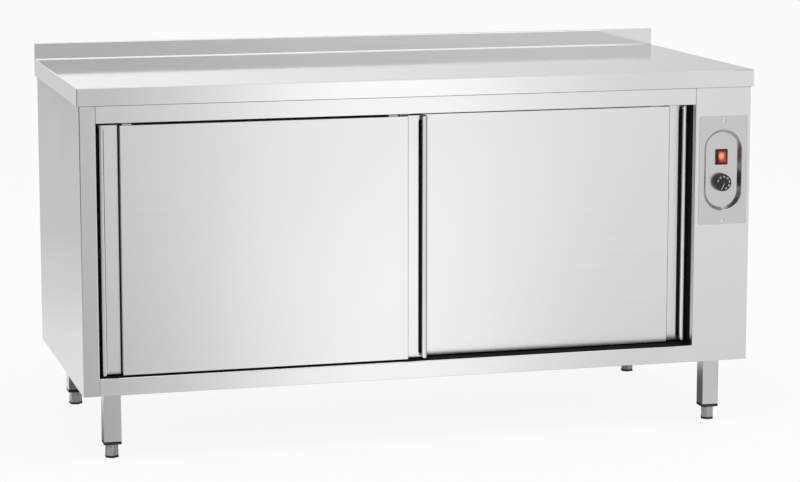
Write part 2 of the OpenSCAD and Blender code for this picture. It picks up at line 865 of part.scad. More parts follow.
module cable_gland() {
    outside = rear_overhang - 0.5;
    inside = 14;
    color("black") translate([gland_x, 0, gland_z]) difference() {
        union() {
            along_y(back_y, back_y + outside) circle(gland_r + 4, $fn = 64);
            along_y(back_y - sheet - inside, back_y + 1) circle(gland_r);
            along_y(back_y - sheet - 6, back_y - sheet) circle(r = gland_r + 5, $fn = 6);
        }
        along_y(back_y - sheet - inside - 1, back_y + outside + 1) circle(cord_r);
    }
}

// ---------- doors ----------

module door_front_skin() {
    color("gainsboro") {
        along_z(0, door_h) folded([[panel_x0, hem], [panel_x0, 0], [panel_x1, 0], [panel_x1, hem]]);
        block([panel_x0 + sheet / 2, sheet / 2, 0], [panel_x1 - sheet / 2, groove_y0 - seat, sheet]);
        block([panel_x0 + sheet / 2, sheet / 2, door_h - sheet],
              [panel_x1 - sheet / 2, back_skin_y - skin_gap, door_h]);
    }
}

module door_back_skin() {
    color("lightgray") {
        block([0, back_skin_y, 0], [door_w, door_t, door_h]);
        block([panel_x0, groove_y0 + groove_w + seat, 0],
              [door_w - panel_x0, back_skin_y + sheet / 2, sheet]);
    }
}

module door_core() {
    z0 = sheet + soft;
    z1 = door_h - sheet - soft;
    lining_x = sheet + lip_bend_r + soft;
    lining_y0 = groove_y0 + groove_w + soft;
    lining_y1 = back_skin_y - skin_gap - sheet - seat;
    color("black") difference() {
        union() {
            block([panel_x0 + undercut, sheet + soft, z0], [panel_x1 - undercut, back_skin_y - soft, z1]);
            block([lip_w + left_slot, grip_depth + sheet + soft, z0],
                  [door_w - lip_w - right_slot, back_skin_y - soft, z1]);
            block([lining_x, lining_y0, z0], [door_w - lining_x, lining_y1, z1]);
        }
        block([-1, groove_y0, z0 - 1], [door_w + 1, groove_y0 + groove_w, groove_h]);
    }
}

// The lip profile and the grip's floor, joined by a notched tab at each end; at a door's left end
module handle(slot) {
    back = back_skin_y - skin_gap;
    strip_x0 = lip_w + slot;
    difference() {
        along_z(0, door_h) {
            folded([[lip_w, back], [0, back], [0, 0], [lip_w / 2 + seat, 0]], lip_bend_r);
            folded([[lip_w / 2 - seat, 0], [lip_w, 0], [lip_w, hem]]);
        }
        for (end = [0, 1])
            translate([lip_w, 0, end * door_h]) mirror([0, 0, end]) along_y(-1, hem + 1)
                translate([-lip_corner_r, 0]) difference() {
                    translate([0, -1]) square(lip_corner_r + 1);
                    translate([0, lip_corner_r]) circle(lip_corner_r);
                }
    }
    block([strip_x0, grip_depth, 0], [strip_x1, grip_depth + sheet, door_h]);
    for (end = [0, 1])
        translate([0, 0, end * door_h]) mirror([0, 0, end])
            along_y(grip_depth, grip_depth + sheet) difference() {
                translate([sheet / 2, 0]) square([strip_x0 + 1, tab_h]);
                translate([strip_x0 - tab_notch_r, tab_h]) circle(tab_notch_r);
            }
}

module door_handles()
    color("gainsboro") {
        handle(left_slot);
        mirrored(door_w) handle(right_slot);
    }

module door_hanger() {
    foot_y0 = 7;
    z = hanger_top - door_z;
    block([-hanger_w / 2, foot_y0, door_h], [hanger_w / 2, hanger_y + hanger_t, door_h + hanger_t]);
    block([-hanger_w / 2, hanger_y, door_h], [hanger_w / 2, hanger_y + hanger_t, z]);
    translate([0, 0, roller_z - door_z]) {
        along_y(stud_y0, hanger_y + 1) circle(stud_r);
        along_y(stud_y0, stud_y0 + stud_head) circle(collar_r);
        along_y(roller_y + roller_w / 2 + soft, hanger_y + 1) circle(collar_r);
    }
}

module door_hangers()
    color("darkgray")
        for (x = [hanger_left, door_w - hanger_right])
            translate([x, 0, 0]) door_hanger();

module door_roller(x) {
    half = roller_w / 2;
    rim = half - 1.6;
    bore = stud_r + running;
    color("dimgray") translate([x, roller_y, roller_z - door_z]) rotate([90, 0, 0])
        rotate_extrude($fn = 96) polygon([
            [bore, -half], [roller_r, -half], [roller_r, -rim], [groove_r, -rim + 1], [groove_r, rim - 1],
            [roller_r, rim], [roller_r, half], [bore, half]]);
}

module in_left_door() translate([left_door_x, front_door_y, door_z]) children();
module in_right_door() translate([right_door_x, rear_door_y, door_z]) children();

// ---------- nodes ----------

worktop();
worktop_board();
left_side_panel();
right_side_panel();
back_panel();
base_panel();
top_rail();
bottom_rail();
control_column();
left_liner();
right_liner();
back_liner();
floor_liner();
ceiling_liner();
wall_insulation();
door_track();
door_guide();
door_buffers();
shelf();
shelf_brackets();
at_leg(false, false) leg();  // leg_front_left
at_leg(true, false) leg();  // leg_front_right
at_leg(false, true) leg();  // leg_rear_left
at_leg(true, true) leg();  // leg_rear_right
leg_inserts();
at_foot(false, false) foot();  // foot_front_left
at_foot(true, false) foot();  // foot_front_right
at_foot(false, true) foot();  // foot_rear_left
at_foot(true, true) foot();  // foot_rear_right
at_foot(false, false) foot_pad();  // pad_front_left
at_foot(true, false) foot_pad();  // pad_front_right
at_foot(false, true) foot_pad();  // pad_rear_left
at_foot(true, true) foot_pad();  // pad_rear_right
control_plate();
plate_screws();
switch_bezel();
switch_rocker();
thermostat_body();
thermostat_spindle();
thermostat_knob();
temperature_sensor();
fan_motor();
fan_wheel();
heating_element();
terminal_block();
cable_gland();
in_left_door() door_front_skin();  // left_door_front_skin
in_left_door() door_back_skin();  // left_door_back_skin
in_left_door() door_core();  // left_door_core
in_left_door() door_handles();  // left_door_handles
in_left_door() door_hangers();  // left_door_hangers
in_left_door() door_roller(hanger_left);  // left_door_roller_a
in_left_door() door_roller(door_w - hanger_right);  // left_door_roller_b
in_right_door() door_front_skin();  // right_door_front_skin
in_right_door() door_back_skin();  // right_door_back_skin
in_right_door() door_core();  // right_door_core
in_right_door() door_handles();  // right_door_handles
in_right_door() door_hangers();  // right_door_hangers
in_right_door() door_roller(hanger_left);  // right_door_roller_a
in_right_door() door_roller(door_w - hanger_right);  // right_door_roller_b
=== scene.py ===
"""Plate warmer cabinet: materials, small parts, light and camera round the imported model.

Metres, +Z up, front at -Y.
"""

import json
import math

import bmesh
import bpy
from mathutils import Matrix, Vector


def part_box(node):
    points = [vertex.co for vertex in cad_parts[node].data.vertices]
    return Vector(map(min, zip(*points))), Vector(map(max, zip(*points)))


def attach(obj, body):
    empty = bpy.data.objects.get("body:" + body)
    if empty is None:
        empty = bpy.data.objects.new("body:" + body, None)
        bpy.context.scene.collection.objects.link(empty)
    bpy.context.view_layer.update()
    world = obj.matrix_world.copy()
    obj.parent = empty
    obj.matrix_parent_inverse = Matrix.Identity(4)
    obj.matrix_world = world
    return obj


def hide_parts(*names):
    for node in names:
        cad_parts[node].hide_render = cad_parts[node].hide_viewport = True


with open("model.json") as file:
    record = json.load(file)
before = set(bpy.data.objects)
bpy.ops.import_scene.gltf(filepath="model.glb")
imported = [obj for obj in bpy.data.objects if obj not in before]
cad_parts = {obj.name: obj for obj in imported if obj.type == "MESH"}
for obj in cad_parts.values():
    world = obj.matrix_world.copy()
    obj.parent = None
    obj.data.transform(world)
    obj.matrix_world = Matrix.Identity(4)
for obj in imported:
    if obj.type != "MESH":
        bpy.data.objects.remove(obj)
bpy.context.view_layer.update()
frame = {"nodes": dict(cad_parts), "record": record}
NODES = frame["nodes"]
BODY = {node: body for body, nodes in frame["record"]["behaviour"]["bodies"].items() for node in nodes}
MM = 0.001
DOORS = ("left_door", "right_door")
CORNERS = ("front_left", "front_right", "rear_left", "rear_right")


# ---------- materials ----------

# Brushed sheet: the noise's cells in each metre, across the brushing and along it
BRUSH_ACROSS, BRUSH_ALONG = 420.0, 4.0
# Most of a noise texture's values lie between these two
NOISE_LOW, NOISE_HIGH = 0.3, 0.7
# A wave texture of scale 1 has one band in this length
WAVE_PERIOD = math.pi / 10
SEAM_GREY = (0.15, 0.15, 0.15)
# The light in the rocker, from its rim to its middle
GLOW = ((0.0, (0.16, 0.010, 0.007)), (0.38, (0.66, 0.09, 0.035)), (0.80, (1.0, 0.62, 0.36)))
GLOW_STRENGTH = 0.8


def opaque(colour, factor=1.0):
    """The colour times a factor, with full alpha."""
    return (*(min(1.0, part * factor) for part in colour), 1.0)


class Graph:
    """A node tree with short calls."""

    def __init__(self, tree):
        self.tree = tree

    def put(self, socket, value):
        """Links another socket to this one, or sets its value."""
        if isinstance(value, bpy.types.NodeSocket):
            self.tree.links.new(value, socket)
        else:
            socket.default_value = value

    def set(self, node, **sockets):
        """Links or sets a node's inputs by name, with _ for a space."""
        for key, value in sockets.items():
            self.put(node.inputs[key.replace("_", " ")], value)
        return node

    def add(self, kind, **sockets):
        """A new node of that kind, with its inputs set."""
        return self.set(self.tree.nodes.new("ShaderNode" + kind), **sockets)

    def calc(self, operation, *values):
        """The result of a Math node."""
        node = self.add("Math")
        node.operation = operation
        for socket, value in zip(node.inputs, values):
            self.put(socket, value)
        return node.outputs[0]

    def scaled(self, value, start, end, low, high):
        """value from start to end becomes low to high, and no further."""
        node = self.add("MapRange", Value=value, From_Min=start, From_Max=end, To_Min=low, To_Max=high)
        return node.outputs[0]

    def ramp(self, value, stops):
        """A curve through (position, level) stops, for levels up to 2."""
        node = self.add("ValToRGB")
        node.color_ramp.interpolation = "EASE"
        first, last = stops[0][0], stops[-1][0]
        self.put(node.inputs[0], self.scaled(value, first, last, 0.0, 1.0))
        points = node.color_ramp.elements
        while len(points) < len(stops):
            points.new(0.5)
        for point, (position, level) in zip(points, stops):
            point.position = (position - first) / (last - first)
            point.color = (level / 2, level / 2, level / 2, 1)
        return self.calc("MULTIPLY", node.outputs[0], 2.0)

    def blended(self, share, first, second):
        """The level first where share is 0, second where it is 1."""
        rest = self.calc("SUBTRACT", 1.0, share)
        return self.calc("ADD", self.calc("MULTIPLY", second, share), self.calc("MULTIPLY", first, rest))

    def mixed(self, share, first, second):
        """The colour first where share is 0, second where it is 1."""
        node = self.add("Mix")
        node.data_type = "RGBA"
        self.set(node, Factor=share, A=first, B=second)
        return next(socket for socket in node.outputs if socket.type == "RGBA")

    def coordinates(self, kind):
        """The x, y and z of a kind of texture coordinates."""
        return self.add("SeparateXYZ", Vector=self.add("TexCoord").outputs[kind]).outputs

    def ray(self, kind):
        """1 for rays of that kind, 0 for others."""
        return self.add("LightPath").outputs[f"Is {kind} Ray"]


class Nodes(Graph):
    """A material with short calls."""

    def __init__(self, name, colour, metallic, rough):
        self.material = bpy.data.materials.new(name)
        self.material.use_nodes = True
        super().__init__(self.material.node_tree)
        self.shader = self.tree.nodes["Principled BSDF"]
        self.set(self.shader, Base_Color=opaque(colour), Metallic=metallic, Roughness=rough)

    def place(self, scale, shift=(0.0, 0.0, 0.0)):
        """The object's coordinates, scaled and then shifted."""
        where = self.add("TexCoord").outputs["Object"]
        return self.add("Mapping", Vector=where, Location=shift, Scale=scale).outputs[0]

    def noise(self, scale, detail=2.0, roughness=0.5):
        where = self.place(scale)
        return self.add("TexNoise", Vector=where, Scale=1.0, Detail=detail, Roughness=roughness).outputs[0]

    def spread(self, value, low, high):
        """A noise texture's value, spread over low to high."""
        return self.scaled(value, NOISE_LOW, NOISE_HIGH, low, high)

    def bump(self, height, strength, distance):
        node = self.add("Bump", Height=height, Strength=strength, Distance=distance)
        self.set(self.shader, Normal=node.outputs[0])


def steel(name, colour, rough, along, grain=0.04):
    """Brushed stainless sheet. along is the brushing's direction: X, Y or Z."""
    m = Nodes(name, colour, 1.0, rough)
    scale = [BRUSH_ACROSS] * 3
    scale["XYZ".index(along)] = BRUSH_ALONG
    brushed = m.noise(scale, 3.0, 0.6)
    handled = m.noise((3.0, 3.0, 3.0), 3.0, 0.6)
    fine = m.spread(brushed, -0.5 * grain, 0.5 * grain)
    broad = m.spread(handled, rough - 0.01, rough + 0.02)
    tint = m.mixed(m.spread(brushed, 0.0, 1.0), opaque(colour, 0.985), opaque(colour, 1.015))
    m.set(m.shader, Roughness=m.calc("ADD", fine, broad), Base_Color=tint)
    m.bump(brushed, 0.06, 0.03 * MM)
    return m.material


def seamed(material, x_end, y_end):
    """A dark ground seam down the sheet's front left corner, from x_end and y_end outwards."""
    g = Graph(material.node_tree)
    base = g.tree.nodes["Principled BSDF"].inputs["Base Color"]
    x, y, _ = g.coordinates("Object")
    corner = g.calc("MULTIPLY", g.calc("LESS_THAN", x, x_end), g.calc("LESS_THAN", y, y_end))
    g.put(base, g.mixed(corner, base.links[0].from_socket, opaque(SEAM_GREY)))
    return material


def moulded(name, colour, rough, texture=900.0, depth=0.04 * MM, **sockets):
    """Moulded plastic with a fine eroded texture. sockets are further settings of its shader."""
    m = Nodes(name, colour, 0.0, rough)
    fine = m.noise((texture,) * 3, 4.0, 0.6)
    broad = m.noise((25.0,) * 3, 3.0)
    m.set(m.shader, Roughness=m.spread(broad, rough - 0.05, rough + 0.07))
    m.set(m.shader, Base_Color=m.mixed(broad, opaque(colour, 0.85), opaque(colour, 1.15)), **sockets)
    m.bump(fine, 0.35, depth)
    return m.material


def fibrous(name, low, high, scale):
    """Felt, mineral wool and fibre board."""
    m = Nodes(name, low, 0.0, 0.95)
    fibre = m.noise((scale, scale, scale * 0.3), 6.0, 0.75)
    tint = m.mixed(m.spread(fibre, 0.0, 1.0), opaque(low), opaque(high))
    m.set(m.shader, Base_Color=tint, Sheen_Weight=0.2)
    m.bump(fibre, 0.8, 0.6 * MM)
    return m.material


def threaded(name, colour, rough, pitch):
    """Turned and threaded steel: rings one pitch apart along Z."""
    m = Nodes(name, colour, 1.0, rough)
    wave = m.add("TexWave", Vector=m.place((1.0, 1.0, 1.0)), Scale=WAVE_PERIOD / pitch, Distortion=0.0)
    wave.bands_direction = "Z"
    worn = m.noise((60.0,) * 3, 3.0)
    m.set(m.shader, Roughness=m.spread(worn, rough - 0.05, rough + 0.08))
    m.set(m.shader, Base_Color=m.mixed(worn, opaque(colour, 0.9), opaque(colour, 1.08)))
    m.bump(wave.outputs[1], 0.6, 0.4 * MM)
    return m.material


def lit_lens(name, middle, reach):
    """Red translucent plastic, lit from inside: brightest at middle, and fading over reach."""
    m = Nodes(name, (0.45, 0.03, 0.02), 0.0, 0.22)
    scale = [1 / length for length in reach]
    shift = [-centre / length for centre, length in zip(middle, reach)]
    ball = m.add("TexGradient", Vector=m.place(scale, shift))
    ball.gradient_type = "SPHERICAL"
    glow = m.add("ValToRGB")
    m.put(glow.inputs[0], ball.outputs[1])
    stops = glow.color_ramp.elements
    stops.new(0.5)
    for stop, (position, colour) in zip(stops, GLOW):
        stop.position = position
        stop.color = opaque(colour)
    m.set(m.shader, Emission_Color=glow.outputs[0], Emission_Strength=GLOW_STRENGTH)
    m.bump(m.noise((700.0,) * 3), 0.1, 0.03 * MM)
    return m.material


def assign(material, *names):
    """Gives CAD nodes their material."""
    for name in names:
        for holder in NODES[name].material_slots:
            holder.material = material


def dress_sheets():
    """The cabinet's stainless sheets and tubes."""
    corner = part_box("worktop")[0]
    top = steel("worktop_steel", (0.725, 0.725, 0.715), 0.06, "X", 0.02)
    assign(seamed(top, corner.x + 1.4 * MM, corner.y + 1.2 * MM), "worktop")
    panel = steel("panel_steel", (0.66, 0.66, 0.655), 0.22, "Z")
    assign(panel, "left_side_panel", "right_side_panel", "back_panel", "base_panel")
    assign(steel("frame_steel", (0.73, 0.733, 0.727), 0.15, "X"), "top_rail", "bottom_rail")
    assign(steel("column_steel", (0.725, 0.725, 0.72), 0.22, "Z"), "control_column")
    assign(steel("plate_steel", (0.60, 0.605, 0.60), 0.26, "Z"), "control_plate")
    liner = steel("liner_steel", (0.60, 0.60, 0.60), 0.36, "Z")
    assign(liner, *[f"{side}_liner" for side in ("left", "right", "back", "floor", "ceiling")])
    assign(liner, "shelf", "shelf_brackets")
    assign(steel("leg_steel", (0.60, 0.60, 0.595), 0.20, "Z"), *[f"leg_{corner}" for corner in CORNERS])


def dress_fittings():
    """Gear, screws, feet, and the devices inside."""
    gear = steel("gear_steel", (0.50, 0.50, 0.50), 0.28, "X")
    assign(gear, "door_track", "door_guide", "thermostat_spindle", "fan_wheel", "heating_element")
    assign(gear, *[f"{door}_hangers" for door in DOORS])
    assign(steel("screw_steel", (0.85, 0.85, 0.85), 0.20, "X"), "plate_screws")
    foot = threaded("foot_steel", (0.55, 0.55, 0.55), 0.28, 1.5 * MM)
    assign(foot, *[f"foot_{corner}" for corner in CORNERS])
    black = moulded("black_plastic", (0.012, 0.012, 0.012), 0.42)
    assign(black, "leg_inserts", "switch_bezel", "cable_gland", *[f"pad_{corner}" for corner in CORNERS])
    assign(moulded("device_grey", (0.05, 0.052, 0.055), 0.45), "thermostat_body", "fan_motor")
    assign(moulded("terminal_plastic", (0.72, 0.68, 0.56), 0.5), "terminal_block")
    assign(moulded("copper", (0.62, 0.30, 0.17), 0.3, Metallic=1.0), "temperature_sensor")
    assign(fibrous("board", (0.50, 0.36, 0.22), (0.62, 0.47, 0.30), 180.0), "worktop_board")


def dress_doors():
    """The doors' skins, handles and rollers, and the buffers that they meet."""
    skin = steel("door_steel", (0.735, 0.738, 0.733), 0.22, "X")
    nylon = moulded("roller_nylon", (0.03, 0.03, 0.03), 0.4)
    for door in DOORS:
        assign(skin, f"{door}_front_skin", f"{door}_back_skin", f"{door}_handles")
        assign(nylon, f"{door}_roller_a", f"{door}_roller_b")
    black = (0.003, 0.003, 0.003)
    dark_rubber_and_painted_shade = moulded("buffer_rubber", black, 0.75, 600.0, 0.08 * MM, Specular_IOR_Level=0.15)
    assign(dark_rubber_and_painted_shade, "door_buffers")


def dress_rocker():
    """The lit rocker, with its lamp left of the middle and near the front."""
    low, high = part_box("switch_rocker")
    middle = (low + high) / 2
    lamp = (middle.x - 2.5 * MM, low.y + 3 * MM, middle.z + 3 * MM)
    assign(lit_lens("lens_red", lamp, (11 * MM, 11 * MM, 13 * MM)), "switch_rocker")


# ---------- pieces ----------

# The knob: its flutes, the points of each ring, the shape of a flute, and what its face has
KNOB_FLUTES, KNOB_STEPS, FLUTE_POWER = 30, 240, 0.7
KNOB_GAP = 0.15 * MM
FACE_DEPTH = 0.25 * MM
DIAL_NUMBERS = range(30, 100, 10)
FIRST_ANGLE, ANGLE_STEP = 160, 37
DIAL_RADIUS, DIGIT_HEIGHT, DIGIT_WEIGHT = 14.6 * MM, 5.6 * MM, 0.1 * MM
PAINT = 0.05 * MM
# The pointer runs from near the knob's middle to its rim. Places are x and z from the middle
POINTER_START, POINTER_END = Vector((2.4, -2.0)) * MM, Vector((-5.2, -16.2)) * MM
POINTER_HALF_WIDTH, POINTER_END_POINTS = 0.65 * MM, 9
POINTER_INNER, POINTER_OUTER = -0.02 * MM, 0.1 * MM

# A door's lips: their width, the depth of their hems, and what is added to the width at a right end, beyond
# a strip that keeps its width. SLACK is for comparing places
LIP_WIDTH, LIP_HEM, LIP_ADDED, LIP_STRIP = 10 * MM, 6 * MM, 3.5 * MM, 2 * MM
LIP_STEP = 1 * MM
SLACK = 0.1 * MM
# A lip is highest at its crest, so far from the door's end, and falls by the square of the distance to it
LEFT_LIP = (8.5 * MM, 15.5)
RIGHT_LIPS = {"left_door": (12 * MM, 15.5), "right_door": (2 * MM, 6.0)}

# The dark bead that paints the shadow gap under the worktop's edge: its radius, and the steps round its
# quarter circle
SHADOW_BEAD_RADIUS, SHADOW_BEAD_STEPS = 1.3 * MM, 6

# Points this near are one point, faces this flat are one face, and edges this sharp stay sharp
SAME_POINT, SAME_FACE = 1e-6, math.radians(1)
LIP_SHARP, LINING_SHARP = math.radians(32), math.radians(35)


def piece(name, mesh, body, material, place=None):
    """A dressed piece that rides on a CAD body."""
    if place:
        mesh.transform(place)
    mesh.materials.clear()
    mesh.materials.append(material)
    item = bpy.data.objects.new(name, mesh)
    bpy.context.scene.collection.objects.link(item)
    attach(item, body)
    return item


def bridge(bm, first, second, closed=True):
    """Four-sided faces between two rows of points."""
    count = len(first)
    for k in range(count if closed else count - 1):
        after = (k + 1) % count
        bm.faces.new((first[k], first[after], second[after], second[k]))


def meshed(bm, name):
    """The bmesh as a mesh, with its faces turned outwards."""
    bmesh.ops.recalc_face_normals(bm, faces=bm.faces)
    mesh = bpy.data.meshes.new(name)
    bm.to_mesh(mesh)
    bm.free()
    return mesh


def merged(mesh):
    """A bmesh of a CAD node's mesh, with doubled points and flat edges merged."""
    bm = bmesh.new()
    bm.from_mesh(mesh)
    bmesh.ops.remove_doubles(bm, verts=bm.verts, dist=SAME_POINT)
    bmesh.ops.dissolve_limit(bm, angle_limit=SAME_FACE, verts=bm.verts, edges=bm.edges)
    return bm


def fluted(rings):
    """A closed mesh round +Z from rings of (radius, height, depth of the flutes), the lowest first."""
    bm = bmesh.new()
    loops = []
    for radius, height, depth in rings:
        loop = []
        for k in range(KNOB_STEPS):
            angle = 2 * math.pi * k / KNOB_STEPS
            outwards = radius - depth * (0.5 - 0.5 * math.cos(angle * KNOB_FLUTES)) ** FLUTE_POWER
            loop.append(bm.verts.new((outwards * math.cos(angle), outwards * math.sin(angle), height)))
        loops.append(loop)
    for lower, upper in zip(loops, loops[1:]):
        bridge(bm, lower, upper)
    for side in bm.faces:
        side.smooth = True
    bm.faces.new(loops[0][::-1])
    bm.faces.new(loops[-1])
    return meshed(bm, "knob_cap")


def knob_cap(x, back, z, radius, height):
    """The knob's cap, from its back to its slightly hollow face."""
    rings = [
        (6.2 * MM, 0.0, 0.0),
        (radius - 0.8 * MM, 0.0, 0.0),
        (radius - 0.2 * MM, 0.6 * MM, 0.55 * MM),
        (radius, 1.4 * MM, 0.55 * MM),
        (radius - 0.7 * MM, height - 1.6 * MM, 0.55 * MM),
        (radius - 1.1 * MM, height - 0.7 * MM, 0.2 * MM),
        (radius - 1.7 * MM, height - 0.25 * MM, 0.0),
        (radius - 2.4 * MM, height, 0.0),
        (radius - 3.2 * MM, height - 0.2 * MM, 0.0),
        (4 * MM, height - FACE_DEPTH, 0.0),
    ]
    black = moulded("knob_plastic", (0.014, 0.014, 0.014), 0.38)
    # The mesh stands round +Z, and +Z has to look out of the front
    place = Matrix.Translation((x, back, z)) @ Matrix.Rotation(math.pi / 2, 4, "X")
    cap = piece("knob_cap", fluted(rings), "knob", black, place)
    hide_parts("thermostat_knob")


def digits(number):
    """A number as a flat mesh in the X-Y plane, centred."""
    text = bpy.data.curves.new(f"dial_{number}", "FONT")
    text.body = str(number)
    text.size = DIGIT_HEIGHT
    text.extrude = PAINT
    text.offset = DIGIT_WEIGHT
    text.align_x = "CENTER"
    text.align_y = "CENTER"
    source = bpy.data.objects.new("text", text)
    bpy.context.scene.collection.objects.link(source)
    graph = bpy.context.evaluated_depsgraph_get()
    mesh = bpy.data.meshes.new_from_object(source.evaluated_get(graph))
    bpy.data.objects.remove(source)
    return mesh


def dial_numbers(x, face, z, white):
    """The numbers round the knob's face, clockwise, each with its foot towards the middle."""
    for k, number in enumerate(DIAL_NUMBERS):
        angle = math.radians(FIRST_ANGLE - ANGLE_STEP * k)
        centre = (x + DIAL_RADIUS * math.cos(angle), face - PAINT, z + DIAL_RADIUS * math.sin(angle))
        turn = Matrix.Rotation(math.pi / 2 - angle, 4, "Y") @ Matrix.Rotation(math.pi / 2, 4, "X")
        place = Matrix.Translation(centre) @ turn
        piece(f"dial_{number}", digits(number), "knob", white, place)


def dial_pointer(x, face, z, white):
    """A bar with round ends, painted on the knob's face."""
    along = (POINTER_END - POINTER_START).normalized() * POINTER_HALF_WIDTH
    across = Vector((-along.y, along.x))
    outline = []
    for centre, first_turn in ((POINTER_START, math.pi / 2), (POINTER_END, -math.pi / 2)):
        for k in range(POINTER_END_POINTS):
            turn = first_turn + math.pi * k / (POINTER_END_POINTS - 1)
            outline.append(centre + along * math.cos(turn) + across * math.sin(turn))
    bm = bmesh.new()
    inner, outer = [
        [bm.verts.new((x + point.x, face - out, z + point.y)) for point in outline]
        for out in (POINTER_INNER, POINTER_OUTER)
    ]
    bridge(bm, inner, outer)
    bm.faces.new(inner)
    bm.faces.new(outer)
    piece("dial_pointer", meshed(bm, "dial_pointer"), "knob", white)


def knob():
    """The thermostat's knob with its flutes, numbers and pointer."""
    low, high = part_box("thermostat_knob")
    middle = (low + high) / 2
    height = high.y - low.y - KNOB_GAP
    face = high.y - height + FACE_DEPTH
    white = moulded("dial_white", (0.85, 0.85, 0.83), 0.5)
    knob_cap(middle.x, high.y, middle.z, (high.x - low.x) / 2, height)
    dial_numbers(middle.x, face, middle.z, white)
    dial_pointer(middle.x, face, middle.z, white)


def crown(point, low, high, left_lip, right_lip):
    """Rounds the lip that a point of a door's handles is on, and widens it at the right end."""
    at_right = high.x - point.x < point.x - low.x
    crest, fall = right_lip if at_right else left_lip
    inset = high.x - point.x if at_right else point.x - low.x
    if inset > LIP_WIDTH + SLACK or point.y - low.y > LIP_HEM + SLACK:
        return
    if at_right:
        inset += LIP_ADDED * max(0.0, (inset - LIP_STRIP) / (LIP_WIDTH - LIP_STRIP))
        point.x = high.x - inset
    point.y += fall * (crest - inset) ** 2


def crowned_handles():
    """The door handles with lips that are round over their whole width, and wider at a door's right end."""
    for door in DOORS:
        node = f"{door}_handles"
        low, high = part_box(node)
        mesh = NODES[node].data.copy()
        bm = merged(mesh)
        # Cuts across both lips, for points that the crown can move
        for k in range(1, round(LIP_WIDTH / LIP_STEP)):
            for x in (low.x + k * LIP_STEP, high.x - k * LIP_STEP):
                everything = bm.verts[:] + bm.edges[:] + bm.faces[:]
                bmesh.ops.bisect_plane(bm, geom=everything, plane_co=(x, 0, 0), plane_no=(1, 0, 0))
        for vertex in bm.verts:
            crown(vertex.co, low, high, LEFT_LIP, RIGHT_LIPS[door])
        for side in bm.faces:
            side.smooth = True
        bm.to_mesh(mesh)
        bm.free()
        mesh.set_sharp_from_angle(angle=LIP_SHARP)
        skin = NODES[node].material_slots[0].material
        item = piece(f"{door}_lips", mesh, door, skin)
        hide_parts(node)


def worktop_seal():
    """A dark bead in the corner under the worktop's edge, along the front and both sides: painted shade that
    stands for the shadow gap there.
    """
    left, front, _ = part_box("left_side_panel")[0]
    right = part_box("right_side_panel")[1].x
    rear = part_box("back_panel")[1].y
    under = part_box("worktop")[0].z
    profile = [(0.0, 0.0)]
    for k in range(SHADOW_BEAD_STEPS + 1):
        angle = math.pi / 2 * k / SHADOW_BEAD_STEPS
        profile.append((SHADOW_BEAD_RADIUS * math.cos(angle), SHADOW_BEAD_RADIUS * math.sin(angle)))
    bm = bmesh.new()
    rows = []
    for out, down in profile:
        route = (
            (left - out, rear),
            (left - out, front - out),
            (right + out, front - out),
            (right + out, rear),
        )
        rows.append([bm.verts.new((x, y, under - down)) for x, y in route])
    for first, second in zip(rows, rows[1:] + rows[:1]):
        bridge(bm, first, second, closed=False)
    for end in (0, -1):
        bm.faces.new([row[end] for row in rows])
    # Near black, so that the bead paints the shade under the worktop's edge
    dark_rubber_and_painted_shade = moulded("shadow_bead_dark", (0.02, 0.02, 0.02), 0.6)
    piece("worktop_seal", meshed(bm, "worktop_seal"), "cabinet", dark_rubber_and_painted_shade)


def softened(node, name, material, bevel):
    """A copy with bevelled edges that stands for a CAD node."""
    mesh = NODES[node].data.copy()
    bm = merged(mesh)
    sharp = [edge for edge in bm.edges if edge.calc_face_angle(0) > LINING_SHARP]
    bmesh.ops.bevel(bm, geom=sharp, offset=bevel, segments=2, affect="EDGES", profile=0.5)
    bm.to_mesh(mesh)
    bm.free()
    item = piece(name, mesh, BODY[node], material)
    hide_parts(node)


def linings():
    """The fibre in the doors and in the cabinet's walls."""
    felt = fibrous("door_core", (0.004, 0.004, 0.004), (0.012, 0.012, 0.012), 900.0)
    wool = fibrous("insulation", (0.45, 0.36, 0.16), (0.75, 0.66, 0.38), 260.0)
    for door in DOORS:
        softened(f"{door}_core", f"{door}_lining", felt, 0.4 * MM)
    softened("wall_insulation", "wool_slabs", wool, 1.0 * MM)


# ---------- light and camera ----------

CAMERA = (-1.634, -6.091, 1.471)
CAMERA_DOWN, CAMERA_RIGHT = 0.150, 0.267
LENS, LENS_SHIFT, SENSOR = 118.69, -0.05, 36.0
# The plane of the doors, where the main camera sees the room mirrored
FRONT_Y = -0.335
AMBIENT = 0.55

# What the steel mirrors, by the place on the front that shows it (x in metres) as the main camera sees it
FRONT_LEVELS = (
    (-0.9, 0.66), (-0.75, 0.69), (-0.6, 0.83), (-0.5, 0.95), (-0.4, 1.09), (-0.3, 1.21), (-0.17, 1.31),
    (0.0, 1.31), (0.1, 1.24), (0.3, 1.05), (0.4, 0.96), (0.52, 0.90), (0.7, 0.92), (0.9, 0.93),
)
# The room before the front, well above the horizon, by metres aside for each metre ahead
HIGH_LEVELS = ((0.0, 0.64), (0.15, 0.66), (0.25, 0.75), (0.34, 0.80), (0.6, 0.84))
# The room behind the front, by the same measure: start, end, and the level at each
BEHIND_LEVELS = (0.13, 0.43, 1.02, 0.67)
# The directions' heights between which the floor's levels go over into the room's
HORIZON_START, HORIZON_END = 0.03, 0.09
# The room is dark at the far left, and darker at the right from so many metres aside for each metre ahead
LEFT_LEVEL = 0.15
ROOM_LEFT_START, ROOM_LEFT_END = -0.88, -0.5
FLOOR_LEFT_START, FLOOR_LEFT_END = -3.6, -2.6
SCREEN_START, SCREEN_END, SCREEN_LEVEL = 0.65, 1.0, 0.50
# Nothing is divided by less than this: a direction's y, and metres ahead on the floor
LEAST_Y, LEAST_AHEAD = 0.05, 0.1
